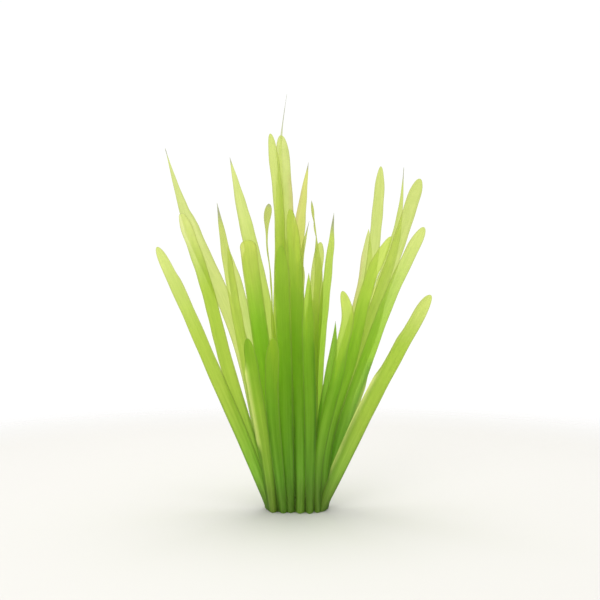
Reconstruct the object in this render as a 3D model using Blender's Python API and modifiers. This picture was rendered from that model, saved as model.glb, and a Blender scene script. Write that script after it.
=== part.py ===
"""Tape grass: a tuft of thin strap leaves that rise from one crown, cut off flat at its foot.

Metres, +Z up, and the front is -Y. The origin is the centre of the crown's flat cut face.
"""

import bmesh
import bpy
import numpy as np

MM = 0.001

# The crown is an oval block of grown-together leaf bases.
CROWN_WIDTH = 29.0 * MM
CROWN_DEPTH = 20.0 * MM
CROWN_HEIGHT = 5.0 * MM
CUT_SHARE = 0.88        # the cut face against the widest part, which is near the top
SHOULDER = 1.4 * MM
SHOULDER_STEPS = 4
CROWN_SEGMENTS = 48

# What all leaves share.
BLADE_THICKNESS = 0.5 * MM
FOOT_GAP = 0.4 * MM     # between the crown and the leaf feet
FOOT_SHARE = 0.64       # width of a leaf foot against its blade
FOOT_LENGTH = 48.0 * MM  # over which a foot widens to the full blade
TIP_HALF_WIDTH = 0.3 * MM
FOOT_CHANNEL = 0.36     # depth of the channel against half the width, at the foot
TIP_CHANNEL = 0.10      # and at the tip
ROWS_ALONG = 14
TIP_CROWDING = 1.7      # above 1 the mesh rows crowd towards the tip, where the outline curves most

# Outline of a tip over its length: half width = (1 - (1 - u) ** first) ** second.
TIP_FORMS = {"round": (2.0, 0.5), "pointed": (1.6, 1.0), "sharp": (1.0, 1.2)}

# One row for each leaf, in millimetres and degrees:
# place in the tuft, height of the tip above the cut,
# x of the midrib at even heights from foot to tip, and y of it at even heights,
# blade width, form and length of the tip, and the turn of the blade about its midrib at even heights.
LEAVES = (
    ("left_1", 103.5, (-12.3, -22.0, -32.5, -42.7, -53.6),
     (-2.9, -7, -14), 6.0, "round", 11, (-4, -20, -30)),
    ("left_2", 117.5, (-11.8, -20.9, -29.3, -36.4, -46.0), (-1.2, -1, -4), 6.0, "round", 7, (-4, -20, -32)),
    ("left_3", 146.5, (-11.6, -16.9, -26.9, -43.1, -55.0), (1.5, 6, 14), 6.2, "sharp", 34, (4, 20, 35)),
    ("left_4", 120.0, (-10.8, -15.1, -20.6, -25.6, -30.2),
     (-4.6, -10, -18), 4.6, "pointed", 25, (-4, -22, -28)),
    ("left_5", 143.0, (-5.4, -9.4, -12.1, -19.6, -28.2), (1.5, 7, 16), 6.2, "pointed", 32, (-3, -15, -30)),
    ("left_6", 105.5, (-7.1, -10.1, -12.3, -15.4, -18.5),
     (-5.5, -14.0, -24), 6.6, "round", 3, (-3, -10, -15)),
    ("left_7", 121.0, (-6.8, -6.9, -7.3, -8.2, -9.0, -9.6, -10.2, -11.7, -10.9),
     (-2.9, -5, -6), 4.2, "round", 7, (10, 28, 46, 60, 70, 78, 84, 88, 90, 80, 20)),
    ("middle_1", 150.5, (-5.6, -6.2, -7.5, -7.1, -10.9), (-1.2, 1, 4), 4.7, "round", 12, (-4, -20, -32)),
    ("middle_2", 151.0, (-0.3, -2.7, -3.2, -4.0, -6.6), (1.5, 4.5, 10), 6.0, "round", 8, (4, 18, 30)),
    ("middle_3", 170.0, (-5.6, -5.5, -5.6, -6.1, -6.6, -7.1, -7.3, -6.9, -4.3),
     (3.2, 11, 18), 5.0, "sharp", 42, (5, 24, 86)),
    ("middle_4", 141.5, (0.2, 0.2, 0.2, 0.5, 4.8), (3.2, 10, 20), 5.2, "pointed", 30, (4, 20, 36)),
    ("middle_5", 118.0, (1.3, 1.5, 0.6, -0.3, -2.6), (-7.4, -9.5, -14), 5.8, "round", 14, (-4, -15, -28)),
    ("middle_6", 114.0, (2.6, 2.5, 2.4, 2.2, 2.0, 1.8, 1.6, 2.2, 4.8),
     (-2.9, -4, -9), 3.6, "pointed", 16, (5, 40, 70)),
    ("middle_7", 123.0, (4.4, 5.6, 7.2, 8.8, 5.8),
     (-1.2, 1, 0), 4.6, "pointed", 8, (4, 6, 9, 12, 15, 18, 22, 27, 33, 45, 70, 92, 45)),
    ("middle_8", 105.5, (5.4, 5.8, 6.2, 6.6, 9.2), (-4.6, -7, -12), 4.8, "round", 8, (4, 18, 28)),
    ("middle_9", 119.0, (5.5, 7.2, 8.9, 12.0, 15.1), (1.5, 4, 8), 4.8, "pointed", 16, (4, 24, 66)),
    ("middle_10", 88.0, (-0.6, -0.2, 0.2, 0.3, 0.2), (-1.2, -1, -2), 5.0, "round", 8, (3, 12, 20)),
    ("right_1", 139.5, (8.2, 18.7, 26.7, 32.0, 35.3), (4.9, 12, 18), 5.6, "round", 16, (4, 22, 34)),
    ("right_2", 114.5, (5.6, 12.4, 19.9, 27.8, 31.4), (6.6, 19, 33), 6.2, "pointed", 14, (5, 24, 38)),
    ("right_3", 107.5, (10.2, 10.8, 12.6, 15.9, 20.0, 23.1, 25.8, 29.8, 36.1),
     (-3.6, -8, -14), 5.8, "round", 12, (4, 18, 34)),
    ("right_4", 139.0, (10.6, 13.9, 18.3, 24.5, 31.0, 35.0, 39.9, 43.2, 44.8),
     (3.2, 9, 17), 5.6, "sharp", 36, (4, 20, 34)),
    ("right_5", 133.0, (11.4, 18.2, 28.3, 39.8, 50.4), (1.5, 5, 9), 5.8, "round", 8, (-4, -18, -28)),
    ("right_6", 112.0, (11.8, 18.6, 27.6, 37.5, 50.4), (-1.2, -1, -3), 6.0, "round", 8, (3, 18, 28)),
    ("right_7", 85.1, (11.6, 20.7, 30.0, 40.2, 50.6), (-5.0, -10, -18), 6.8, "round", 8, (4, 20, 30)),
    ("front_1", 69.0, (-9.9, -11.8, -13.9, -16.2, -18.3),
     (-6.8, -14.3, -25), 5.4, "round", 9, (-4, -16, -28)),
    ("front_2", 69.5, (-5.8, -7.6, -9.0, -9.4, -8.3), (-8.0, -17.5, -30), 5.4, "round", 9, (-4, -14, -22)),
    ("front_3", 103.5, (-2.7, -4.0, -4.7, -5.4, -5.9),
     (-6.9, -14.0, -23), 5.8, "round", 12, (-3, -12, -20)),
    ("front_4", 93.5, (5.0, 5.2, 5.0, 4.3, 4.5), (-8.0, -14, -24), 5.0, "pointed", 20, (4, 14, 26)),
    ("front_5", 75.0, (6.8, 8.0, 9.1, 9.9, 10.8, 12.3, 13.6, 14.8, 15.1),
     (-2.9, -3.4, -6), 4.6, "pointed", 18, (4, 24, 46)),
    ("front_6", 86.6, (8.0, 7.9, 9.1, 11.1, 13.6, 16.0, 17.5, 19.3, 17.2),
     (-6.3, -10, -18), 5.0, "round", 10, (-4, -14, -22)),
    ("back_1", 105.6, (-7.8, -10.5, -13.4, -17.3, -21.5), (4.9, 14, 30), 6.6, "round", 5, (-4, -14, -20)),
    ("back_2", 110.0, (-5.6, -4.6, -3.8, -4.4, -5.4), (6.6, 17, 37), 6.2, "round", 10, (-5, -28, -50)),
    ("back_3", 100.0, (-2.6, -2.2, -1.2, 0.0, 1.2), (4.9, 12, 25), 6.0, "round", 8, (-4, -18, -35)),
    ("back_4", 83.0, (0.2, 1.2, 2.8, 4.8, 7.0), (6.6, 18, 40), 6.0, "round", 8, (4, 20, 36)),
    ("back_5", 83.0, (2.8, 9.0, 16.0, 23.5, 30.8), (4.9, 13, 23), 5.8, "round", 9, (4, 24, 42)),
    ("back_6", 106.1, (-10.2, -13.6, -17.6, -23.3, -29.6),
     (3.2, 9, 20), 6.6, "pointed", 20, (-4, -20, -30)),
)


def clear_scene():
    """Removes every object that the file holds."""
    for item in list(bpy.data.objects):
        bpy.data.objects.remove(item, do_unlink=True)


def make_collection(name):
    """A collection named for the plant, linked to the scene."""
    collection = bpy.data.collections.new(name)
    bpy.context.scene.collection.children.link(collection)
    return collection


def make_material(name, colour, roughness):
    """A Principled material with no metal in it."""
    material = bpy.data.materials.new(name)
    material.use_nodes = True
    shader = material.node_tree.nodes["Principled BSDF"]
    shader.inputs["Base Color"].default_value = (*colour, 1.0)
    shader.inputs["Roughness"].default_value = roughness
    shader.inputs["Metallic"].default_value = 0.0
    return material


def make_object(name, mesh, material, collection):
    """An object that holds the mesh, with its material, in the plant's collection."""
    item = bpy.data.objects.new(name, mesh)
    mesh.materials.append(material)
    collection.objects.link(item)
    return item


def smooth_through(values, at):
    """Natural cubic spline through evenly spaced values, read at shares 0 to 1 of the way."""
    values = np.asarray(values, dtype=float)
    spans = len(values) - 1
    system = np.eye(spans + 1)
    bends = np.zeros(spans + 1)
    for k in range(1, spans):
        system[k, k - 1:k + 2] = (1.0, 4.0, 1.0)
        bends[k] = 6.0 * (values[k - 1] - 2.0 * values[k] + values[k + 1])
    bends = np.linalg.solve(system, bends)
    k = np.minimum((at * spans).astype(int), spans - 1)
    b = at * spans - k
    a = 1.0 - b
    cubic = ((a ** 3 - a) * bends[k] + (b ** 3 - b) * bends[k + 1]) / 6.0
    return a * values[k] + b * values[k + 1] + cubic


def unit(vectors):
    """The rows of an array of vectors, each scaled to length 1."""
    return vectors / np.linalg.norm(vectors, axis=1, keepdims=True)


def half_width(share, height, width, form, tip_length):
    """Half the blade's width at a share of its height: narrow at the foot, closed over the tip."""
    left = (1.0 - share) * height
    first, second = TIP_FORMS[form]
    tip = (1.0 - (1.0 - np.minimum(left / tip_length, 1.0)) ** first) ** second
    rise = np.minimum(share * height / FOOT_LENGTH, 1.0)
    foot = FOOT_SHARE + (1.0 - FOOT_SHARE) * rise * (2.0 - rise)
    return np.maximum(0.5 * width * tip * foot, TIP_HALF_WIDTH)


def blade_grid(height, across, depth, width, form, tip_length, turn):
    """Points of a blade, rows from foot to tip and three columns: left edge, midrib, right edge."""
    foot_height = CROWN_HEIGHT + FOOT_GAP
    share = 1.0 - (1.0 - np.linspace(0.0, 1.0, ROWS_ALONG + 1)) ** TIP_CROWDING
    rise = height - foot_height
    midrib = np.column_stack((
        smooth_through(across, share),
        smooth_through(depth, share),
        foot_height + rise * share,
    ))
    along = unit(np.gradient(midrib, share, axis=0))
    side = unit(np.array((1.0, 0.0, 0.0)) - along[:, :1] * along)
    angle = np.radians(smooth_through(turn, share))[:, None]
    edge = np.cos(angle) * side + np.sin(angle) * np.cross(along, side)
    face = np.cross(edge, along)
    half = half_width(share, rise, width, form, tip_length)[:, None]
    outward = -1.0 if depth[0] <= 0.0 else 1.0
    channel = outward * (TIP_CHANNEL + (FOOT_CHANNEL - TIP_CHANNEL) * (1.0 - share[:, None]) ** 2)
    left = midrib - half * edge + half * channel * face
    right = midrib + half * edge + half * channel * face
    grid = np.stack((left, midrib, right), axis=1)
    grid[0, :, 2] = foot_height
    return grid


def make_leaf(row, material, collection):
    """One leaf: a grid laid on the blade's surface and thickened about it."""
    place, height, across, depth, width, form, tip_length, turn = row
    name = "leaf_" + place
    grid = blade_grid(height * MM, np.multiply(across, MM), np.multiply(depth, MM),
                      width * MM, form, tip_length * MM, turn)
    shape = bmesh.new()
    bmesh.ops.create_grid(shape, x_segments=2, y_segments=ROWS_ALONG, size=1.0)
    for vertex in shape.verts:
        column = round(vertex.co.x + 1.0)
        step = round((vertex.co.y + 1.0) * 0.5 * ROWS_ALONG)
        vertex.co = grid[step, column]
    mesh = bpy.data.meshes.new(name)
    shape.to_mesh(mesh)
    shape.free()
    leaf = make_object(name, mesh, material, collection)
    thicken = leaf.modifiers.new("Thickness", "SOLIDIFY")
    thicken.thickness = BLADE_THICKNESS
    thicken.offset = 0.0
    return leaf


def crown_profile():
    """Outline of the crown from the middle of its top, over the shoulder, to the middle of the cut."""
    radius = 0.5 * CROWN_WIDTH
    corner = np.linspace(0.0, 0.5 * np.pi, SHOULDER_STEPS + 1)
    shoulder_x = radius - SHOULDER + SHOULDER * np.sin(corner)
    shoulder_z = CROWN_HEIGHT - SHOULDER + SHOULDER * np.cos(corner)
    shoulder = [(x, 0.0, z) for x, z in zip(shoulder_x, shoulder_z)]
    return [(0.0, 0.0, CROWN_HEIGHT), *shoulder, (radius * CUT_SHARE, 0.0, 0.0), (0.0, 0.0, 0.0)]


def make_crown(material, collection):
    """The crown: its outline turned about Z and narrowed to an oval."""
    points = crown_profile()
    mesh = bpy.data.meshes.new("crown")
    mesh.from_pydata(points, [(k, k + 1) for k in range(len(points) - 1)], [])
    crown = make_object("crown", mesh, material, collection)
    turn = crown.modifiers.new("Turn", "SCREW")
    turn.axis = "Z"
    turn.steps = CROWN_SEGMENTS
    turn.render_steps = CROWN_SEGMENTS
    turn.use_merge_vertices = True
    turn.merge_threshold = 0.0001
    turn.use_smooth_shade = True
    crown.scale.y = CROWN_DEPTH / CROWN_WIDTH
    return crown


def main():
    """Builds the whole tuft."""
    clear_scene()
    collection = make_collection("tape_grass")
    leaf_green = make_material("leaf_green", (0.42, 0.60, 0.09), 0.38)
    crown_green = make_material("crown_green", (0.10, 0.20, 0.035), 0.5)
    make_crown(crown_green, collection)
    for row in LEAVES:
        make_leaf(row, leaf_green, collection)


main()
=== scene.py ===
# Tape grass: a tuft of thin leaves that let the light through, grown from one crown and cut off flat.
import bpy
import numpy as np
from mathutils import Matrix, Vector


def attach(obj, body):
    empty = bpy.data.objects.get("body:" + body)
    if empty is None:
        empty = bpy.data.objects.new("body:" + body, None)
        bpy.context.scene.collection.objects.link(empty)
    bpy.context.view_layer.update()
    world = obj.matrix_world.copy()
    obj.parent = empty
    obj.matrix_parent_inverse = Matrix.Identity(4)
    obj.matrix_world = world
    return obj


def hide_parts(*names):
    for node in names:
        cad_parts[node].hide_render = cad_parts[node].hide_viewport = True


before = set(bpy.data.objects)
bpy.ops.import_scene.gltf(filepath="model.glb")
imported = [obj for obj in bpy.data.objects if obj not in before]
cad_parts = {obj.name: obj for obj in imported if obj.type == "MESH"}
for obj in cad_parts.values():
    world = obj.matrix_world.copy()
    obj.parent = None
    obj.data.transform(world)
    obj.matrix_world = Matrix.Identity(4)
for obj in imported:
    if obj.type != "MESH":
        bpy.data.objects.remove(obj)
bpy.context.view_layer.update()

mm = 0.001

# What all leaves share. Lengths are in millimetres.
leafBuild = {
    "footHeight": 5.4,          # where a blade starts, just above the crown
    "stub": 5.1,                # how far it runs on down, almost to the cut
    "stubRings": 8,
    "lowest": 0.05,             # a leaning stub is cut off flat here
    "swell": 1.5,               # how far the fleshy base bulges outwards
    "swellTop": 15.0,           # length of the bulge, from the lower end of the stub
    "footShare": 0.64,          # width of the foot against the blade
    "footLength": 48.0,         # over which the foot widens to the full blade
    "footShade": 0.24,           # painted shade: how much darker the foot is where it meets the crown
    "footShadeOver": 11.0,       # over which that fades out upwards
    "middleAt": 0.45,           # share of the height at which the middle tone is reached
    "tipFrom": 0.52,            # and at which the tip's tone begins
    "marginFade": 6.0,          # over which a coloured edge fades in and out along the blade
    "paleWidth": 0.8,           # how much wider a pale edge makes the blade
    "footChannel": 0.36,        # depth of the channel against half the width
    "tipChannel": 0.10,
    "thickFoot": 0.50,
    "thickTip": 0.26,
    "thinning": 0.7,            # below 1 the blade thins mostly near the foot
    "fullHalf": 1.5,            # half the width from which a blade has its full thickness
    "threadThick": 0.35,        # thickness of a thread against a full blade
    "leastHalf": 0.16,          # half the width of the thinnest thread
    "threadEnd": 1.2,           # over which the end of a thread closes
    "marginPower": 0.42,        # below 1 the margins are blunt
    "veins": (-0.68, -0.36, 0.0, 0.36, 0.68),
    "veinHeight": 0.035,
    "veinSpread": 0.05,
    "ruffle": 0.16,             # how far the margins wave
    "ruffleLength": 13.0,
    "ruffleStretch": (0.8, 1.3),
    "reliefHalf": 2.0,          # half the width from which veins and waves have their full height
    "seedStep": 3.7,            # keeps the pattern of one leaf away from the next
    "dryFade": 0.75,            # share of the dry end over which it turns grey
    "dryPerMm": 0.25,           # how grey an end is for each millimetre of it
    "dryMost": 0.8,
    "rings": 168,
    "pointsAround": 32,
    "ringCrowding": 1.6,        # above 1 the rings crowd towards the tip
}

# Outline of a tip over its length: half width = (1 - (1 - u) ** first) ** second.
tipForms = {"round": (2.0, 0.5), "pointed": (1.6, 1.0), "sharp": (1.0, 1.2)}

# Tone of an edge that is tanner or paler than its blade, or darker. The pale tone is partly a paler margin
# and partly a painted highlight; the shade tone is painted shade where other leaves shade the edge.
margins = {"tan": (0.78, 0.62, 0.33), "pale": (0.91, 0.94, 0.33), "shade": (0.14, 0.36, 0.05)}

# Light that one leaf lets through, as (foot, middle, tip).
tones = {
    "pale": ((0.41, 0.70, 0.090), (0.53, 0.69, 0.095), (0.72, 0.80, 0.250)),
    "faint": ((0.42, 0.70, 0.095), (0.60, 0.74, 0.150), (0.76, 0.83, 0.290)),
    "fading": ((0.40, 0.69, 0.085), (0.50, 0.67, 0.085), (0.82, 0.86, 0.380)),
    "fresh": ((0.40, 0.71, 0.085), (0.46, 0.72, 0.075), (0.66, 0.78, 0.170)),
    "green": ((0.37, 0.68, 0.080), (0.42, 0.69, 0.065), (0.54, 0.72, 0.110)),
    "yellow": ((0.42, 0.69, 0.095), (0.62, 0.70, 0.120), (0.80, 0.81, 0.240)),
    "olive": ((0.39, 0.65, 0.085), (0.56, 0.70, 0.120), (0.63, 0.69, 0.200)),
    "clear": ((0.42, 0.70, 0.095), (0.82, 0.90, 0.450), (0.86, 0.92, 0.550)),
    "mild": ((0.41, 0.69, 0.090), (0.71, 0.82, 0.260), (0.71, 0.79, 0.240)),
    "deep": ((0.33, 0.66, 0.075), (0.33, 0.60, 0.060), (0.37, 0.61, 0.075)),
    "sunny": ((0.48, 0.73, 0.095), (0.64, 0.80, 0.130), (0.44, 0.66, 0.080)),
    "dusk": ((0.42, 0.68, 0.090), (0.46, 0.63, 0.075), (0.69, 0.77, 0.210)),
    "haze": ((0.39, 0.65, 0.085), (0.70, 0.82, 0.210), (0.63, 0.69, 0.200)),
    "light": ((0.42, 0.70, 0.095), (0.70, 0.79, 0.220), (0.77, 0.84, 0.310)),
    "moss": ((0.40, 0.68, 0.080), (0.40, 0.67, 0.062), (0.72, 0.78, 0.210)),
    "soft": ((0.34, 0.66, 0.070), (0.37, 0.62, 0.055), (0.52, 0.70, 0.075)),
    "lush": ((0.33, 0.68, 0.080), (0.45, 0.72, 0.085), (0.72, 0.80, 0.250)),
}

# One dictionary for each leaf: height of the tip, x and y of the midrib at even heights, blade width,
# form and length of the tip, turn about the midrib at even heights in degrees, tone, and the length of
# the dry grey end. Some have foot, the brightness of the foot, tipFrom, the share of the height where the
# tip's tone begins, step, where one edge (-1 left, 1 right) steps outwards: (edge, from the tip, by, over),
# or margins, a list of coloured edges: (colour, edge, from and to below the tip, strength, inner limit).
leaves = {
    "leaf_left_1": dict(height=103.5, across=(-12.3, -22.0, -32.5, -42.7, -53.6), depth=(-2.9, -7, -14),
                        width=6.0, form="round", tip=11, turn=(-4, -20, -30), tone="pale", dry=0.6,
                        foot=1.10, tipFrom=0.60, step=(1, 10, 0.6, 4)),
    "leaf_left_2": dict(height=117.5, across=(-11.8, -20.9, -29.3, -36.4, -46.0), depth=(-1.2, -1, -4),
                        width=6.0, form="round", tip=7, turn=(-4, -20, -32), tone="fading", dry=0.6,
                        tipFrom=0.70),
    "leaf_left_3": dict(height=146.5, across=(-11.6, -16.9, -26.9, -43.1, -55.0), depth=(1.5, 6, 14),
                        width=6.2, form="sharp", tip=34, turn=(4, 20, 35), tone="light", dry=5,
                        tipFrom=0.30, step=(1, 26, 0.7, 4),
                        margins=[("tan", 1, 60, 96, 0.15, 0.1)]),
    "leaf_left_4": dict(height=120.0, across=(-10.8, -15.1, -20.6, -25.6, -30.2), depth=(-4.6, -10, -18),
                        width=4.6, form="pointed", tip=25, turn=(-4, -22, -28), tone="haze", dry=9,
                        foot=1.20),
    "leaf_left_5": dict(height=143.0, across=(-5.4, -9.4, -12.1, -19.6, -28.2), depth=(1.5, 7, 16),
                        width=6.2, form="pointed", tip=32, turn=(-3, -15, -30), tone="faint", dry=4,
                        margins=[("tan", -1, 42, 66, 0.30, 0.1)]),
    "leaf_left_6": dict(height=105.5, across=(-7.1, -10.1, -12.3, -15.4, -18.5), depth=(-5.5, -14.0, -24),
                        width=6.6, form="round", tip=3, turn=(-3, -10, -15), tone="moss", dry=0.6,
                        foot=0.92, tipFrom=0.64),
    "leaf_left_7": dict(height=121.0, across=(-6.8, -6.9, -7.3, -8.2, -9.0, -9.6, -10.2, -11.7, -10.9),
                        depth=(-2.9, -5, -6), width=4.2, form="round", tip=7,
                        turn=(10, 28, 46, 60, 70, 78, 84, 88, 90, 80, 20), tone="olive", dry=2),
    "leaf_middle_1": dict(height=150.5, across=(-5.6, -6.2, -7.5, -7.1, -10.9), depth=(-1.2, 1, 4),
                          width=4.7, form="round", tip=12, turn=(-4, -20, -32), tone="pale", dry=0.6),
    "leaf_middle_2": dict(height=151.0, across=(-0.3, -2.7, -3.2, -4.0, -6.6), depth=(1.5, 4.5, 10),
                          width=6.0, form="round", tip=8, turn=(4, 18, 30), tone="faint", dry=0.6,
                          margins=[("tan", 1, 14, 50, 0.50, 0.1)]),
    "leaf_middle_3": dict(height=170.0, across=(-5.6, -5.5, -5.6, -6.1, -6.6, -7.1, -7.3, -6.9, -4.3),
                          depth=(3.2, 11, 18), width=5.0, form="sharp", tip=42, turn=(5, 24, 86),
                          tone="clear", dry=24),
    "leaf_middle_4": dict(height=141.5, across=(0.2, 0.2, 0.2, 0.5, 4.8), depth=(3.2, 10, 20),
                          width=5.2, form="pointed", tip=30, turn=(4, 20, 36), tone="yellow", dry=5,
                          margins=[("tan", -1, 8, 36, 0.50, 0.1)]),
    "leaf_middle_5": dict(height=118.0, across=(1.3, 1.5, 0.6, -0.3, -2.6), depth=(-7.4, -9.5, -14),
                          width=5.8, form="round", tip=14, turn=(-4, -15, -28), tone="fresh", dry=0.6,
                          foot=1.08),
    "leaf_middle_6": dict(height=114.0, across=(2.6, 2.5, 2.4, 2.2, 2.0, 1.8, 1.6, 2.2, 4.8),
                          depth=(-2.9, -4, -9), width=3.6, form="pointed", tip=16, turn=(5, 40, 70),
                          tone="olive", dry=6),
    "leaf_middle_7": dict(height=123.0, across=(4.4, 5.6, 7.2, 8.8, 5.8), depth=(-1.2, 1, 0),
                          width=4.6, form="pointed", tip=8,
                          turn=(4, 6, 9, 12, 15, 18, 22, 27, 33, 45, 70, 92, 45), tone="olive", dry=2),
    "leaf_middle_8": dict(height=105.5, across=(5.4, 5.8, 6.2, 6.6, 9.2), depth=(-4.6, -7, -12), width=4.8,
                          form="round", tip=8, turn=(4, 18, 28), tone="pale", dry=0.6, foot=0.90),
    "leaf_middle_9": dict(height=119.0, across=(5.5, 7.2, 8.9, 12.0, 15.1), depth=(1.5, 4, 8),
                          width=4.8, form="pointed", tip=16, turn=(4, 24, 66), tone="fresh", dry=11),
    "leaf_middle_10": dict(height=88.0, across=(-0.6, -0.2, 0.2, 0.3, 0.2), depth=(-1.2, -1, -2),
                           width=5.0, form="round", tip=8, turn=(3, 12, 20), tone="green", dry=0.6),
    "leaf_right_1": dict(height=139.5, across=(8.2, 18.7, 26.7, 32.0, 35.3), depth=(4.9, 12, 18),
                         width=5.6, form="round", tip=16, turn=(4, 22, 34), tone="mild", dry=0.8),
    "leaf_right_2": dict(height=114.5, across=(5.6, 12.4, 19.9, 27.8, 31.4), depth=(6.6, 19, 33), width=6.2,
                         form="pointed", tip=14, turn=(5, 24, 38), tone="faint", dry=0.6,
                         margins=[("tan", -1, 8, 40, 0.40, 0.1)]),
    "leaf_right_3": dict(height=107.5, across=(10.2, 10.8, 12.6, 15.9, 20.0, 23.1, 25.8, 29.8, 36.1),
                         depth=(-3.6, -8, -14), width=5.8, form="round", tip=12, turn=(4, 18, 34),
                         tone="fresh", dry=0.6, foot=0.95),
    "leaf_right_4": dict(height=139.0, across=(10.6, 13.9, 18.3, 24.5, 31.0, 35.0, 39.9, 43.2, 44.8),
                         depth=(3.2, 9, 17), width=5.6, form="sharp", tip=36, turn=(4, 20, 34), tone="mild",
                         dry=9, margins=[("pale", -1, 44, 110, 0.8, 0.45)]),
    "leaf_right_5": dict(height=133.0, across=(11.4, 18.2, 28.3, 39.8, 50.4), depth=(1.5, 5, 9),
                         width=5.8, form="round", tip=8, turn=(-4, -18, -28), tone="mild", dry=0.6),
    "leaf_right_6": dict(height=112.0, across=(11.8, 18.6, 27.6, 37.5, 50.4), depth=(-1.2, -1, -3),
                         width=6.0, form="round", tip=8, turn=(3, 18, 28), tone="lush", dry=0.6,
                         foot=0.80,
                         # the shade margin is painted shade where other leaves shade the edge; the pale one
                         # is partly a painted highlight
                         margins=[("shade", 1, 50, 92, 0.60, -0.7), ("pale", 1, 58, 94, 0.80, 0.60)]),
    "leaf_right_7": dict(height=85.1, across=(11.6, 20.7, 30.0, 40.2, 50.6), depth=(-5.0, -10, -18),
                         width=6.8, form="round", tip=8, turn=(4, 20, 30), tone="dusk", dry=0.6, foot=0.98,
                         tipFrom=0.70, step=(-1, 14, 0.6, 4), margins=[("pale", -1, 28, 74, 0.95, 0.62)]),
    "leaf_front_1": dict(height=69.0, across=(-9.9, -11.8, -13.9, -16.2, -18.3), depth=(-6.8, -14.3, -25),
                         width=5.4, form="round", tip=9, turn=(-4, -16, -28), tone="sunny", dry=0.6,
                         margins=[("pale", -1, 8, 46, 0.90, 0.25)]),
    "leaf_front_2": dict(height=69.5, across=(-5.8, -7.6, -9.0, -9.4, -8.3), depth=(-8.0, -17.5, -30),
                         width=5.4, form="round", tip=9, turn=(-4, -14, -22), tone="soft", dry=0.6,
                         foot=1.02),
    "leaf_front_3": dict(height=103.5, across=(-2.7, -4.0, -4.7, -5.4, -5.9), depth=(-6.9, -14.0, -23),
                         width=5.8, form="round", tip=12, turn=(-3, -12, -20), tone="green", dry=0.6,
                         foot=1.05),
    "leaf_front_4": dict(height=93.5, across=(5.0, 5.2, 5.0, 4.3, 4.5), depth=(-8.0, -14, -24), width=5.0,
                         form="pointed", tip=20, turn=(4, 14, 26), tone="green", dry=2, foot=0.93,
                         # the shade margin is painted shade where other leaves shade the edge
                         margins=[("shade", 1, 24, 72, 0.60, 0.35)]),
    "leaf_front_5": dict(height=75.0, across=(6.8, 8.0, 9.1, 9.9, 10.8, 12.3, 13.6, 14.8, 15.1),
                         depth=(-2.9, -3.4, -6), width=4.6, form="pointed", tip=18, turn=(4, 24, 46),
                         tone="deep", dry=2, foot=0.95),
    "leaf_front_6": dict(height=86.6, across=(8.0, 7.9, 9.1, 11.1, 13.6, 16.0, 17.5, 19.3, 17.2),
                         depth=(-6.3, -10, -18), width=5.0, form="round", tip=10, turn=(-4, -14, -22),
                         tone="fresh", dry=0.8, foot=0.90),
    "leaf_back_1": dict(height=105.6, across=(-7.8, -10.5, -13.4, -17.3, -21.5), depth=(4.9, 14, 30),
                        width=6.6, form="round", tip=5, turn=(-4, -14, -20), tone="fresh", dry=0.6),
    "leaf_back_2": dict(height=110.0, across=(-5.6, -4.6, -3.8, -4.4, -5.4), depth=(6.6, 17, 37),
                        width=6.2, form="round", tip=10, turn=(-5, -28, -50), tone="fresh", dry=0.6),
    "leaf_back_3": dict(height=100.0, across=(-2.6, -2.2, -1.2, 0.0, 1.2), depth=(4.9, 12, 25),
                        width=6.0, form="round", tip=8, turn=(-4, -18, -35), tone="fresh", dry=0.6),
    "leaf_back_4": dict(height=83.0, across=(0.2, 1.2, 2.8, 4.8, 7.0), depth=(6.6, 18, 40),
                        width=6.0, form="round", tip=8, turn=(4, 20, 36), tone="fresh", dry=0.6),
    "leaf_back_5": dict(height=83.0, across=(2.8, 9.0, 16.0, 23.5, 30.8), depth=(4.9, 13, 23),
                        width=5.8, form="round", tip=9, turn=(4, 24, 42), tone="fresh", dry=0.6),
    "leaf_back_6": dict(height=106.1, across=(-10.2, -13.6, -17.6, -23.3, -29.6), depth=(3.2, 9, 20),
                        width=6.6, form="pointed", tip=20, turn=(-4, -20, -30), tone="mild", dry=0.6),
}


# Natural cubic spline through evenly spaced values: each span is a cubic whose bends match at the joins.
# Below share 0 it runs on straight.
def smoothThrough(values, share):
    values = np.asarray(values, dtype=float)
    spans = len(values) - 1
    system = np.eye(spans + 1)
    bends = np.zeros(spans + 1)
    for k in range(1, spans):
        system[k, k - 1:k + 2] = (1.0, 4.0, 1.0)
        bends[k] = 6.0 * (values[k - 1] - 2.0 * values[k] + values[k + 1])
    bends = np.linalg.solve(system, bends)
    at = np.clip(share, 0.0, 1.0)
    k = np.minimum((at * spans).astype(int), spans - 1)
    b = at * spans - k
    a = 1.0 - b
    curve = a * values[k] + b * values[k + 1]
    curve = curve + ((a ** 3 - a) * bends[k] + (b ** 3 - b) * bends[k + 1]) / 6.0
    slope = spans * (values[1] - values[0] - bends[1] / 6.0)
    return curve + slope * np.minimum(share, 0.0)


# Smooth step: 3 v squared minus 2 v cubed, with v held between 0 and 1.
def ramp(values):
    values = np.clip(values, 0.0, 1.0)
    return values ** 2 * (3.0 - 2.0 * values)


def unit(vectors):
    return vectors / np.linalg.norm(vectors, axis=-1, keepdims=True)


# Half the blade's width: full width times the foot's widening times the tip's outline.
# Foot: from footShare to 1 as a parabola over footLength. Tip: the outline named in tipForms. It is never
# less than a thread's, which closes at its end as a square root.
def halfWidth(leaf, share, rise):
    left = (1.0 - share) * rise
    first, second = tipForms[leaf["form"]]
    tip = (1.0 - (1.0 - np.minimum(left / leaf["tip"], 1.0)) ** first) ** second
    foot = np.clip(share * rise / leafBuild["footLength"], 0.0, 1.0)
    foot = leafBuild["footShare"] + (1.0 - leafBuild["footShare"]) * foot * (2.0 - foot)
    least = leafBuild["leastHalf"] * np.sqrt(np.minimum(left / leafBuild["threadEnd"], 1.0))
    return np.maximum(0.5 * leaf["width"] * tip * foot, least)
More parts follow.
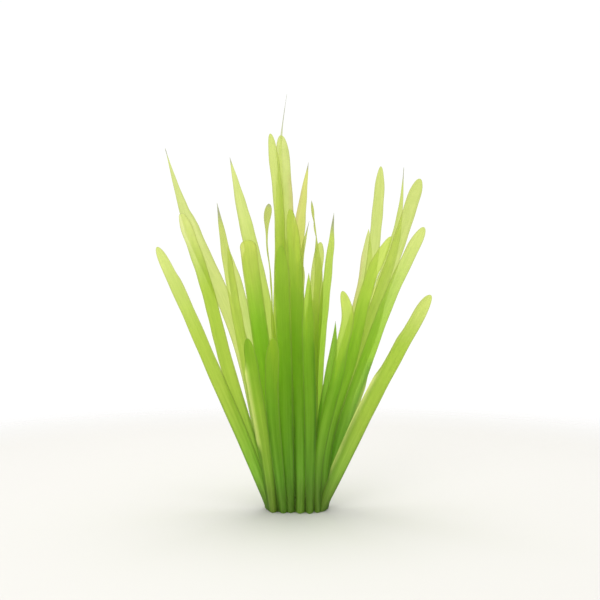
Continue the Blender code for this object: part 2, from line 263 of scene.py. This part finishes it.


# Tone of the leaf: foot tone to middle tone to tip tone, by two smooth steps along the height. The last
# stretch above the crown is darkened by painted shade. At an edge with a margin the tone changes to the
# margin's own, by a smooth step in the distance across the blade times a smooth step from each end. A pale
# edge, whose brightness is partly a paler margin and partly a painted highlight, is also less clear and a
# little wider, so its share comes back as well, negative at a left edge.
def toneOver(leaf, share, across, fromTip, fromFoot):
    build = leafBuild
    foot, middle, tip = (np.array(colour) for colour in tones[leaf["tone"]])
    foot = foot * leaf.get("foot", 1.0)
    low = foot + (middle - foot) * ramp(share / build["middleAt"])[..., None]
    tipFrom = leaf.get("tipFrom", build["tipFrom"])
    tone = low + (tip - low) * ramp((share - tipFrom) / (1.0 - tipFrom))[..., None]
    # painted shade on the last stretch above the crown
    footShadeShare = build["footShade"] * ramp(1.0 - fromFoot / build["footShadeOver"])
    tone = tone * (1.0 - footShadeShare)[..., None]
    edges = np.zeros(fromTip.shape)
    fade = build["marginFade"]
    # a shade margin paints shade; a pale one is partly a painted highlight
    for colour, edge, start, end, strength, inner in leaf.get("margins", ()):
        here = strength * ramp((edge * across - inner) / (1.0 - inner))
        here = here * ramp((fromTip - start) / fade) * ramp((end - fromTip) / fade)
        tone = tone + (np.array(margins[colour]) - tone) * here[..., None]
        edges = edges + edge * here * (colour == "pale")
    return tone, edges


# A leaf is a flat tube carried along its midrib. Its two parameters are the share of the height and the
# angle round the section. Across the blade a point lies at half width times cos(angle), plus the step of
# one edge and the extra width of a pale one. Off the blade it lies at the channel, a parabola in that
# distance, plus the wave of the margins, a sine along the blade times the distance cubed, plus or minus
# half the thickness times |sin(angle)| to a small power, with a bell-shaped ridge over each vein. Near the
# cut the outer side bulges by a smooth step down the base times 1 - across squared, and no point goes below
# the lowest height.
def leafSurface(leaf, seed):
    build = leafBuild
    rise = leaf["height"] - build["footHeight"]
    stub = np.linspace(-build["stub"] / rise, 0.0, build["stubRings"] + 1)[:-1]
    grade = 1.0 - (1.0 - np.linspace(0.0, 1.0, build["rings"])) ** build["ringCrowding"]
    share = np.concatenate((stub, grade))
    midrib = np.column_stack((smoothThrough(leaf["across"], share), smoothThrough(leaf["depth"], share),
                              build["footHeight"] + rise * share))
    along = unit(np.gradient(midrib, share, axis=0))
    side = unit(np.array((1.0, 0.0, 0.0)) - along[:, :1] * along)
    turn = np.radians(smoothThrough(leaf["turn"], share))[:, None]
    edge = np.cos(turn) * side + np.sin(turn) * np.cross(along, side)
    face = np.cross(edge, along)
    half = halfWidth(leaf, share, rise)[:, None]

    angle = np.linspace(0.0, 2.0 * np.pi, build["pointsAround"], endpoint=False)
    across = np.cos(angle)[None, :]
    lift = np.sign(np.sin(angle)) * np.abs(np.sin(angle)) ** build["marginPower"]
    grown = np.clip(share, 0.0, 1.0)[:, None]
    fromTip = (1.0 - share[:, None]) * rise
    thick = build["thickFoot"] + (build["thickTip"] - build["thickFoot"]) * grown ** build["thinning"]
    thread = build["threadThick"]
    thick = thick * np.minimum(1.0, thread + (1.0 - thread) * half / build["fullHalf"])
    relief = np.minimum(1.0, half / build["reliefHalf"])
    veins = sum(np.exp(-((across - vein) / build["veinSpread"]) ** 2) for vein in build["veins"])
    veins = build["veinHeight"] * veins * relief
    inward = -1.0 if leaf["depth"][0] <= 0.0 else 1.0
    deeper = (build["footChannel"] - build["tipChannel"]) * (1.0 - grown) ** 2
    channel = inward * (build["tipChannel"] + deeper)
    swell = build["swell"] * (1.0 - ramp((share[:, None] * rise + build["stub"]) / build["swellTop"]))
    swell = swell * (1.0 - across ** 2) * np.maximum(-inward * lift, 0.0)[None, :]
    rng = np.random.default_rng(seed)
    phase = rng.uniform(0.0, 2.0 * np.pi, 2)
    stretch = rng.uniform(*build["ruffleStretch"], 2)
    turns = 2.0 * np.pi * rise * grown / build["ruffleLength"]
    wave = np.where(across > 0.0, np.sin(turns * stretch[0] + phase[0]),
                    np.sin(turns * stretch[1] + phase[1]))
    wave = build["ruffle"] * np.abs(across) ** 3 * wave * grown * relief
    stepEdge, stepFrom, stepBy, stepOver = leaf.get("step", (1, 0, 0, 1))
    step = stepBy * ramp((fromTip - stepFrom) / stepOver) * grown * np.maximum(stepEdge * across, 0.0)
    off = half * channel * across ** 2 + wave + lift[None, :] * (0.5 * thick + veins) - inward * swell

    dry = ramp((leaf["dry"] - fromTip) / (build["dryFade"] * leaf["dry"]))
    dry = dry * min(build["dryMost"], build["dryPerMm"] * leaf["dry"])
    whole = np.ones(off.shape)
    marks = {"across": whole * across, "fromTip": whole * fromTip, "fromFoot": rise - whole * fromTip,
             "seed": whole * build["seedStep"] * seed, "dry": whole * dry}
    marks["tone"], paleLitEdge = toneOver(leaf, whole * grown, marks["across"], marks["fromTip"],
                                       marks["fromFoot"])
    marks["paleLitEdge"] = np.abs(paleLitEdge)
    aside = half * across + stepEdge * step + build["paleWidth"] * paleLitEdge
    points = (midrib[:, None, :] + aside[:, :, None] * edge[:, None, :]
              + off[:, :, None] * face[:, None, :])
    points[..., 2] = np.maximum(points[..., 2], build["lowest"])
    return points, marks


# Mesh from a grid of points whose columns close on themselves: quads between the rings, and a fan of
# triangles to the mean point of the first ring and of the last.
def closedTube(name, points, marks):
    rings, around = points.shape[:2]
    column = np.arange(around)
    beside = (column + 1) % around
    start = (np.arange(rings - 1) * around)[:, None]
    quads = np.stack((start + column, start + beside, start + around + beside, start + around + column),
                     axis=-1)
    foot, tip = rings * around, rings * around + 1
    footFan = np.column_stack((beside, column, np.full(around, foot)))
    tipFan = np.column_stack((column, beside, np.full(around, tip)))
    tipFan[:, :2] += (rings - 1) * around
    middles = [points[0].mean(axis=0), points[-1].mean(axis=0)]
    spots = np.concatenate((points.reshape(-1, 3), middles)) * mm
    mesh = bpy.data.meshes.new(name)
    mesh.from_pydata(spots.tolist(), [], quads.reshape(-1, 4).tolist() + footFan.tolist() + tipFan.tolist())
    for key, values in marks.items():
        ends = [values[0].mean(axis=0), values[-1].mean(axis=0)]
        if values.ndim == 3:
            colours = np.concatenate((values.reshape(-1, 3), ends))
            layer = mesh.attributes.new(key, "FLOAT_COLOR", "POINT")
            layer.data.foreach_set("color", np.column_stack((colours, np.ones(len(colours)))).ravel())
        else:
            layer = mesh.attributes.new(key, "FLOAT", "POINT")
            layer.data.foreach_set("value", np.concatenate((values.ravel(), ends)))
    mesh.shade_smooth()
    item = bpy.data.objects.new(name, mesh)
    bpy.context.scene.collection.objects.link(item)
    return item


def linkAll(tree, pairs):
    for source, target in pairs:
        tree.links.new(source, target)


def mathNode(tree, operation, first, second=None, third=None):
    node = tree.nodes.new("ShaderNodeMath")
    node.operation = operation
    for socket, value in zip(node.inputs, (first, second, third)):
        if isinstance(value, (int, float)):
            socket.default_value = value
        elif value is not None:
            tree.links.new(value, socket)
    return node.outputs[0]


# Start plus each value times its factor.
def scaledSum(tree, start, *terms):
    total = start
    for value, factor in terms:
        total = mathNode(tree, "ADD", total, mathNode(tree, "MULTIPLY", value, factor))
    return total


def smoothStep(tree, value, low, high):
    node = tree.nodes.new("ShaderNodeMapRange")
    node.interpolation_type = "SMOOTHSTEP"
    node.inputs["From Min"].default_value = low
    node.inputs["From Max"].default_value = high
    tree.links.new(value, node.inputs["Value"])
    return node.outputs["Result"]


# A Mix node takes its share at socket 0 and its two colours at 6 and 7, and gives the mixed one at 2.
def mixColour(tree, share, first, second, way="MIX"):
    node = tree.nodes.new("ShaderNodeMix")
    node.data_type = "RGBA"
    node.blend_type = way
    for index, source in ((0, share), (6, first), (7, second)):
        if isinstance(source, (int, float)):
            node.inputs[index].default_value = source
        elif isinstance(source, tuple):
            node.inputs[index].default_value = (*source, 1.0)
        else:
            tree.links.new(source, node.inputs[index])
    return node.outputs[2]


def noiseNode(tree, place, scale, detail):
    node = tree.nodes.new("ShaderNodeTexNoise")
    node.inputs["Scale"].default_value = scale
    node.inputs["Detail"].default_value = detail
    tree.links.new(place, node.inputs["Vector"])
    return node.outputs[0]


# Fibres in relief: a noise over a stretched place gives the height and, between two limits, the roughness.
def makeReliefGroup():
    tree = bpy.data.node_groups.new("fibreRelief", "ShaderNodeTree")
    tree.interface.new_socket("Place", in_out="INPUT", socket_type="NodeSocketVector")
    for name in ("Scale", "Least Roughness", "Most Roughness"):
        tree.interface.new_socket(name, in_out="INPUT", socket_type="NodeSocketFloat")
    for name in ("Height", "Roughness"):
        tree.interface.new_socket(name, in_out="OUTPUT", socket_type="NodeSocketFloat")
    given = tree.nodes.new("NodeGroupInput").outputs
    result = tree.nodes.new("NodeGroupOutput").inputs
    fibres = tree.nodes.new("ShaderNodeTexNoise")
    fibres.inputs["Detail"].default_value = 4.0
    rough = tree.nodes.new("ShaderNodeMapRange")
    linkAll(tree, ((given["Place"], fibres.inputs["Vector"]), (given["Scale"], fibres.inputs["Scale"]),
                   (fibres.outputs[0], rough.inputs["Value"]), (fibres.outputs[0], result["Height"]),
                   (given["Least Roughness"], rough.inputs["To Min"]),
                   (given["Most Roughness"], rough.inputs["To Max"]),
                   (rough.outputs[0], result["Roughness"])))
    return tree


def reliefNode(tree, reliefGroup, scale, roughness):
    node = tree.nodes.new("ShaderNodeGroup")
    node.node_tree = reliefGroup
    node.inputs["Scale"].default_value = scale
    node.inputs["Least Roughness"].default_value = roughness[0]
    node.inputs["Most Roughness"].default_value = roughness[1]
    return node


def placeNode(tree, x, y, z):
    node = tree.nodes.new("ShaderNodeCombineXYZ")
    linkAll(tree, zip((x, y, z), node.inputs))
    return node.outputs[0]


# Each Place is a pair of factors, for across the blade and from the tip. A darkening of 1 is black, and a
# negative one lightens.
leafFinish = {
    "skin": 0.34,               # share of the light that the satin skin keeps back
    "paleLitSkin": 0.55,           # what a pale edge adds to that, partly as a painted highlight
    "skinTint": (0.60, 0.68, 0.60),     # darkens the skin, but not on a pale edge, whose whiter skin is partly a painted highlight
    "clearBlade": 0.64,         # share that goes straight through the blade
    "clearFoot": 0.14,
    "footReach": (62.0, 4.0),   # heights over which the blade turns into foot, going down
    "roughness": (0.36, 0.50),
    "ior": 1.40,
    "reliefMetres": 0.00004,
    "veinRelief": 0.5,          # against the fibres' own relief
    "crossVeinRelief": 0.3,
    "darkening": 0.24,          # what all patterns below are added to
    "fibrePlace": (5.0, 0.09),
    "fibreScale": 2.2,
    "fibreDetail": 4.0,
    "fibreDarkening": -0.40,
    "bandPlace": (1.5, 0.012),
    "bandShift": 40.0,          # keeps the bands away from the fibres' noise
    "bandScale": 1.7,
    "bandDetail": 1.0,
    "bandDepth": 0.30,
    "bandDepthFoot": 1.20,      # what the foot adds to that
    # painted shade of the curled foot: its edges darker than its middle
    "curlShadeDepth": 0.85,
    "curlShadeEven": 0.33,           # mean of across squared, so that the painted shade darkens no blade as a whole
    "veinSpacing": 0.17,
    "veinHalf": 0.05,
    "veinDarkening": 0.08,
    "cellPlace": (2.4, 0.55),
    "cellScale": 1.6,
    "crossVeinHalf": 0.06,
    "crossVeinDarkening": 0.03,
    "blotchScale": 95.0,
    "blotchDetail": 3.0,
    "blotchDarkening": -0.14,
    "greenPower": 0.7,          # a darker place loses less green than red, and more blue
    "bluePower": 1.5,
    "rim": (0.76, 0.98),        # shares of half the width over which the rim sets in
    # a darker rim: partly the margin's own brownish tint, partly painted shade for the dark line its
    # refraction draws
    "rimStrength": 0.40,
    "rimTintAndShadeColour": (0.46, 0.44, 0.17),
    "dryColour": (0.42, 0.42, 0.33),
}


# Where a pattern is read: across and from the tip times a factor each, and a third coordinate.
def patternPlace(tree, marks, factors, third):
    return placeNode(tree, mathNode(tree, "MULTIPLY", marks["across"], factors[0]),
                     mathNode(tree, "MULTIPLY", marks["fromTip"], factors[1]), third)


# All leaves share this material. A leaf lets part of the light straight through in its own tint, spreads
# part of it, and the rest meets its satin skin. The tint is the tone along the blade, varied by bands,
# painted shade at the edges of the foot, fibres, veins, cross veins and blotches, darkened at the rim
# partly in its own tint and partly by painted shade, and greyed at the dry end. A pale edge, partly a
# painted highlight, has no darker rim, lets no light straight through and shows more of its skin.
def makeLeafMaterial(reliefGroup):
    finish = leafFinish
    material = bpy.data.materials.new("leaf_tissue")
    material.use_nodes = True
    tree = material.node_tree
    marks = {}
    for key in ("across", "fromTip", "fromFoot", "seed", "dry", "paleLitEdge", "tone"):
        node = tree.nodes.new("ShaderNodeAttribute")
        node.attribute_name = key
        marks[key] = node.outputs["Color" if key == "tone" else "Fac"]
    offMiddle = mathNode(tree, "ABSOLUTE", marks["across"])
    atFoot = smoothStep(tree, marks["fromFoot"], *finish["footReach"])

    # fibres run along the blade, so the noise is squeezed across it
    fibrePlace = patternPlace(tree, marks, finish["fibrePlace"], marks["seed"])
    fibres = noiseNode(tree, fibrePlace, finish["fibreScale"], finish["fibreDetail"])

    # broad pale and dark bands along the blade, strongest near the foot
    shifted = mathNode(tree, "ADD", marks["seed"], finish["bandShift"])
    bandPlace = patternPlace(tree, marks, finish["bandPlace"], shifted)
    bands = noiseNode(tree, bandPlace, finish["bandScale"], finish["bandDetail"])
    bandDepth = scaledSum(tree, finish["bandDepth"], (atFoot, finish["bandDepthFoot"]))
    banding = mathNode(tree, "MULTIPLY", mathNode(tree, "SUBTRACT", 0.5, bands), bandDepth)

    # painted shade: near the foot the edges of the blade are darker than its middle, as a curled blade is
    # shaded
    curlShade = mathNode(tree, "SUBTRACT", mathNode(tree, "POWER", offMiddle, 2.0), finish["curlShadeEven"])
    curlShade = mathNode(tree, "MULTIPLY", curlShade, atFoot)

    veins = smoothStep(tree, mathNode(tree, "PINGPONG", offMiddle, finish["veinSpacing"]),
                       finish["veinHalf"], 0.0)
    cells = tree.nodes.new("ShaderNodeTexVoronoi")
    cells.feature = "DISTANCE_TO_EDGE"
    cells.inputs["Scale"].default_value = finish["cellScale"]
    cellPlace = patternPlace(tree, marks, finish["cellPlace"], marks["seed"])
    tree.links.new(cellPlace, cells.inputs["Vector"])
    crossVeins = smoothStep(tree, cells.outputs["Distance"], finish["crossVeinHalf"], 0.0)
    spots = tree.nodes.new("ShaderNodeTexCoord")
    blotches = noiseNode(tree, spots.outputs["Object"], finish["blotchScale"], finish["blotchDetail"])

    shade = scaledSum(tree, mathNode(tree, "ADD", finish["darkening"], banding),
                      (curlShade, finish["curlShadeDepth"]), (fibres, finish["fibreDarkening"]),
                      (blotches, finish["blotchDarkening"]), (veins, finish["veinDarkening"]),
                      (crossVeins, finish["crossVeinDarkening"]))
    keep = mathNode(tree, "SUBTRACT", 1.0, shade)
    filtered = tree.nodes.new("ShaderNodeCombineColor")
    linkAll(tree, ((keep, filtered.inputs[0]),
                   (mathNode(tree, "POWER", keep, finish["greenPower"]), filtered.inputs[1]),
                   (mathNode(tree, "POWER", keep, finish["bluePower"]), filtered.inputs[2])))
    tissue = mixColour(tree, 1.0, marks["tone"], filtered.outputs[0], "MULTIPLY")
    notPale = mathNode(tree, "SUBTRACT", 1.0, marks["paleLitEdge"])
    # darker rim, partly the margin's own tint and partly painted shade, left off a pale edge
    rim = mathNode(tree, "MULTIPLY", smoothStep(tree, offMiddle, *finish["rim"]), notPale)
    rim = mathNode(tree, "MULTIPLY", rim, finish["rimStrength"])
    tissue = mixColour(tree, rim, tissue, finish["rimTintAndShadeColour"])
    tissue = mixColour(tree, marks["dry"], tissue, finish["dryColour"])

    perFace = tree.nodes.new("ShaderNodeGamma")      # two faces pass the light one after the other
    perFace.inputs["Gamma"].default_value = 0.5
    straight = scaledSum(tree, finish["clearBlade"], (atFoot, finish["clearFoot"] - finish["clearBlade"]))
    straight = mathNode(tree, "MULTIPLY", straight, notPale)

    skin = tree.nodes["Principled BSDF"]
    skin.inputs["IOR"].default_value = finish["ior"]
    relief = reliefNode(tree, reliefGroup, finish["fibreScale"], finish["roughness"])
    height = scaledSum(tree, relief.outputs["Height"], (veins, finish["veinRelief"]),
                       (crossVeins, finish["crossVeinRelief"]))
    bump = tree.nodes.new("ShaderNodeBump")
    bump.inputs["Distance"].default_value = finish["reliefMetres"]
    clear = tree.nodes.new("ShaderNodeBsdfTransparent")
    spread = tree.nodes.new("ShaderNodeBsdfTranslucent")
    body = tree.nodes.new("ShaderNodeMixShader")
    # a pale edge keeps back more light in a whiter skin, partly as a painted highlight
    kept = scaledSum(tree, finish["skin"], (marks["paleLitEdge"], finish["paleLitSkin"]))
    reflected = mixColour(tree, marks["paleLitEdge"], finish["skinTint"], (1.0, 1.0, 1.0))
    whole = tree.nodes.new("ShaderNodeMixShader")
    linkAll(tree, (
        (fibrePlace, relief.inputs["Place"]), (relief.outputs["Roughness"], skin.inputs["Roughness"]),
        (height, bump.inputs["Height"]), (bump.outputs[0], skin.inputs["Normal"]),
        (mixColour(tree, 1.0, tissue, reflected, "MULTIPLY"), skin.inputs["Base Color"]),
        (kept, body.inputs[0]),
        (tissue, perFace.inputs["Color"]), (perFace.outputs[0], clear.inputs["Color"]),
        (perFace.outputs[0], spread.inputs["Color"]), (spread.outputs[0], body.inputs[1]),
        (skin.outputs[0], body.inputs[2]), (body.outputs[0], whole.inputs[1]),
        (clear.outputs[0], whole.inputs[2]), (straight, whole.inputs[0]),
        (whole.outputs[0], tree.nodes["Material Output"].inputs["Surface"])))
    return material


def dress(item, node):
    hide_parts(node)
    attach(item, "root")


reliefGroup = makeReliefGroup()
leafMaterial = makeLeafMaterial(reliefGroup)
for number, (node, leaf) in enumerate(leaves.items()):
    blade = closedTube(node.replace("leaf_", "blade_"), *leafSurface(leaf, number))
    blade.data.materials.append(leafMaterial)
    dress(blade, node)
print("leaves grown:", len(leaves))


# Lengths are in millimetres.
crown = {
    "width": 23.6,
    "depth": 13.4,
    "height": 5.0,
    "shoulder": 1.6,            # radius of the rounded edge of the top
    "cutShare": 0.95,           # radius of the cut against the widest
    "dome": 0.6,                # how far the middle of the top stands up
    "topBumps": 0.25,
    "bumpWaves": (2.1, 2.6),    # radians of a bump for each millimetre along x and y
    "bumpShift": 0.6,
    "flutes": 19,
    "fluteDepth": 0.5,
    "flutePower": 0.5,          # below 1 the flutes are narrow
    "warps": ((0.10, 3.0, 1.0), (0.06, 5.0, 2.0)),      # sines that space the flutes: size, waves, shift
    "firstRing": 0.04,          # share of the radius where the top begins, its middle closed by a fan
    "lastRing": 0.97,           # share of the way in over the cut where the last ring lies
    "flatRings": 23,            # on the top, and as many on the cut
    "shoulderRings": 8,
    "sideRings": 11,
    "pointsAround": 380,
}


# The crown is an oval turned outline. Its two parameters are the place along the outline, from the middle
# of the top over the shoulder to the middle of the cut, and the angle round it. The top is domed by
# 1 - share squared, with bumps of a sine along x times a sine along y. Flutes take a little off the radius
# where two leaf bases meet: 1 - |sin| of half the flute angle to a small power, times share squared, where
# the angle is warped by two slow sines.
def crownSurface():
    radius, height, shoulder = 0.5 * crown["width"], crown["height"], crown["shoulder"]
    corner = np.linspace(0.0, 0.5 * np.pi, crown["shoulderRings"])
    low = radius * crown["cutShare"]
    onTop = np.linspace(crown["firstRing"], 1.0, crown["flatRings"] + 1)[:-1]
    down = np.linspace(0.0, 1.0, crown["sideRings"] + 1)[1:]
    inward = np.linspace(0.0, crown["lastRing"], crown["flatRings"] + 1)[1:]
    reach = np.concatenate((onTop * (radius - shoulder), radius - shoulder + shoulder * np.sin(corner),
                            radius + (low - radius) * down, low * (1.0 - inward)))
    level = np.concatenate((np.full(len(onTop), height), height - shoulder + shoulder * np.cos(corner),
                            (height - shoulder) * (1.0 - down), np.zeros(len(inward))))[:, None]
    angle = np.linspace(0.0, 2.0 * np.pi, crown["pointsAround"], endpoint=False)[None, :]
    warped = angle
    for size, waves, shift in crown["warps"]:
        warped = warped + size * np.sin(waves * angle + shift)
    valley = 1.0 - np.abs(np.sin(0.5 * crown["flutes"] * warped)) ** crown["flutePower"]
    share = (reach / radius)[:, None]
    outer = reach[:, None] - crown["fluteDepth"] * valley * share ** 2
    waveX, waveY = crown["bumpWaves"]
    bumps = np.sin(waveX * outer * np.cos(angle) + crown["bumpShift"])
    bumps = bumps * np.sin(waveY * outer * np.sin(angle))
    domed = crown["topBumps"] * (bumps - 1.0) + crown["dome"] * (1.0 - share ** 2)
    domed[len(onTop) + 1:] = 0.0                     # the top ends with the first ring of the shoulder
    points = np.stack((outer * np.cos(angle), outer * np.sin(angle) * crown["depth"] / crown["width"],
                       level + domed), axis=-1)
    return points, {"valley": valley * np.ones(outer.shape)}


crownFinish = {
    "ior": 1.35,
    "specular": 0.25,
    "squeeze": (1.0, 1.0, 0.12),    # fibres run upwards, so their noise is stretched that way
    "fibreScale": 1400.0,
    "roughness": (0.55, 0.85),
    "reliefMetres": 0.0002,
    "greens": ((0.035, 0.075, 0.008), (0.12, 0.19, 0.022)),
    # painted shade in the flutes, where two leaf bases meet
    "fluteShadeColour": (0.02, 0.04, 0.005),
    "fluteShadeStrength": 0.6,
    "channelScale": 900.0,
    "channelEdge": (0.25, 0.6),
    "channelColour": (0.10, 0.13, 0.04),
    "fleshColour": (0.52, 0.56, 0.30),
    "cutReach": (0.0003, 0.00005),  # heights in metres over which the green turns into the cut's flesh
}


# Crown tissue: green sheaths with fine lengthwise fibres, darker in the flutes by painted shade, and on the
# cut a paler flesh with air channels.
def makeCrownMaterial(reliefGroup):
    finish = crownFinish
    material = bpy.data.materials.new("crown_tissue")
    material.use_nodes = True
    tree = material.node_tree
    skin = tree.nodes["Principled BSDF"]
    skin.inputs["IOR"].default_value = finish["ior"]
    skin.inputs["Specular IOR Level"].default_value = finish["specular"]
    place = tree.nodes.new("ShaderNodeTexCoord")
    split = tree.nodes.new("ShaderNodeSeparateXYZ")
    tree.links.new(place.outputs["Object"], split.inputs[0])
    valley = tree.nodes.new("ShaderNodeAttribute")
    valley.attribute_name = "valley"
    squeeze = tree.nodes.new("ShaderNodeMapping")
    squeeze.inputs["Scale"].default_value = finish["squeeze"]
    relief = reliefNode(tree, reliefGroup, finish["fibreScale"], finish["roughness"])
    channels = tree.nodes.new("ShaderNodeTexVoronoi")
    channels.inputs["Scale"].default_value = finish["channelScale"]
    linkAll(tree, ((place.outputs["Object"], squeeze.inputs["Vector"]),
                   (squeeze.outputs[0], relief.inputs["Place"]),
                   (place.outputs["Object"], channels.inputs["Vector"])))
    green = mixColour(tree, relief.outputs["Height"], *finish["greens"])
    # painted shade: darker in the flutes
    flutes = mathNode(tree, "MULTIPLY", valley.outputs["Fac"], finish["fluteShadeStrength"])
    green = mixColour(tree, flutes, green, finish["fluteShadeColour"])
    flesh = mixColour(tree, smoothStep(tree, channels.outputs["Distance"], *finish["channelEdge"]),
                      finish["channelColour"], finish["fleshColour"])
    onCut = smoothStep(tree, split.outputs["Z"], *finish["cutReach"])
    bump = tree.nodes.new("ShaderNodeBump")
    bump.inputs["Distance"].default_value = finish["reliefMetres"]
    linkAll(tree, ((mixColour(tree, onCut, green, flesh), skin.inputs["Base Color"]),
                   (relief.outputs["Roughness"], skin.inputs["Roughness"]),
                   (relief.outputs["Height"], bump.inputs["Height"]),
                   (bump.outputs[0], skin.inputs["Normal"])))
    return material


crownPiece = closedTube("crown_block", *crownSurface())
crownPiece.data.materials.append(makeCrownMaterial(reliefGroup))
dress(crownPiece, "crown")
print("crown made")


# Pale floor that fades into the white room, so that no edge shows. Lengths are in metres.
floorLook = {
    "radius": 1.2,
    "innerRadius": 0.01,
    "fade": (0.20, 0.36),       # distances over which it fades
    "colour": (0.55, 0.54, 0.515),
    "roughness": 0.85,
    "rings": 40,
    "pointsAround": 96,
}


# A round flat sheet. Its two parameters are the distance from the middle and the angle.
def makeFloor():
    rings, around = floorLook["rings"], floorLook["pointsAround"]
    angle = np.linspace(0.0, 2.0 * np.pi, around, endpoint=False)[None, :]
    reach = np.linspace(floorLook["innerRadius"], floorLook["radius"], rings)[:, None]
    spots = np.stack((reach * np.cos(angle), reach * np.sin(angle), np.zeros_like(reach * angle)), axis=-1)
    column = np.arange(around)
    start = (np.arange(rings - 1) * around)[:, None]
    beside = (column + 1) % around
    quads = np.stack((start + column, start + around + column, start + around + beside, start + beside),
                     axis=-1)
    mesh = bpy.data.meshes.new("floor")
    mesh.from_pydata(spots.reshape(-1, 3).tolist(), [], quads.reshape(-1, 4).tolist() + [column.tolist()])
    floor = bpy.data.objects.new("floor", mesh)
    bpy.context.scene.collection.objects.link(floor)
    material = bpy.data.materials.new("floor_paint")
    material.use_nodes = True
    tree = material.node_tree
    paint = tree.nodes["Principled BSDF"]
    paint.inputs["Base Color"].default_value = (*floorLook["colour"], 1.0)
    paint.inputs["Roughness"].default_value = floorLook["roughness"]
    place = tree.nodes.new("ShaderNodeTexCoord")
    length = tree.nodes.new("ShaderNodeVectorMath")
    length.operation = "LENGTH"
    clear = tree.nodes.new("ShaderNodeBsdfTransparent")
    mix = tree.nodes.new("ShaderNodeMixShader")
    tree.links.new(place.outputs["Object"], length.inputs[0])
    fade = smoothStep(tree, length.outputs["Value"], *floorLook["fade"])
    linkAll(tree, ((fade, mix.inputs[0]), (paint.outputs[0], mix.inputs[1]),
                   (clear.outputs[0], mix.inputs[2]),
                   (mix.outputs[0], tree.nodes["Material Output"].inputs["Surface"])))
    mesh.materials.append(material)


studio = {
    "roomLight": 0.92,
    "seenLight": 1.02,          # how bright the room itself looks, just over white
    "softBoxes": (      # name, place, size, power, all aimed at the middle of the plant
        ("top", (0.0, 0.10, 0.75), 0.6, 5.0),
        ("front", (-0.35, -0.70, 0.45), 0.5, 2.0),
    ),
    "aim": (0.0, 0.0, 0.08),
    "clearFaces": 64,           # how many leaf faces a ray may pass straight through
}


def makeStudio():
    scene = bpy.context.scene
    world = bpy.data.worlds.new("room")
    scene.world = world
    world.use_nodes = True
    tree = world.node_tree
    background = tree.nodes["Background"]
    path = tree.nodes.new("ShaderNodeLightPath")
    strength = mathNode(tree, "MULTIPLY_ADD", path.outputs["Is Camera Ray"],
                        studio["seenLight"] - studio["roomLight"], studio["roomLight"])
    background.inputs["Color"].default_value = (1.0, 1.0, 1.0, 1.0)
    tree.links.new(strength, background.inputs["Strength"])
    for name, place, size, power in studio["softBoxes"]:
        lamp = bpy.data.lights.new(name, "AREA")
        lamp.size = size
        lamp.energy = power
        item = bpy.data.objects.new(name, lamp)
        item.location = place
        item.rotation_euler = (Vector(studio["aim"]) - Vector(place)).to_track_quat("-Z", "Y").to_euler()
        scene.collection.objects.link(item)
    scene.view_settings.view_transform = "Standard"
    scene.cycles.transparent_max_bounces = studio["clearFaces"]


makeFloor()
makeStudio()
print("room lit")


# The camera looks level along +Y from in front of the tuft.
view = {"place": (1.2, -333.0, 83.2), "lens": 50.0, "sensor": 36.0}
cameraData = bpy.data.cameras.new("camera")
cameraData.lens = view["lens"]
cameraData.sensor_width = view["sensor"]
camera = bpy.data.objects.new("camera", cameraData)
camera.location = [mm * value for value in view["place"]]
camera.rotation_euler = (0.5 * np.pi, 0.0, 0.0)
bpy.context.scene.collection.objects.link(camera)
bpy.context.scene.camera = camera
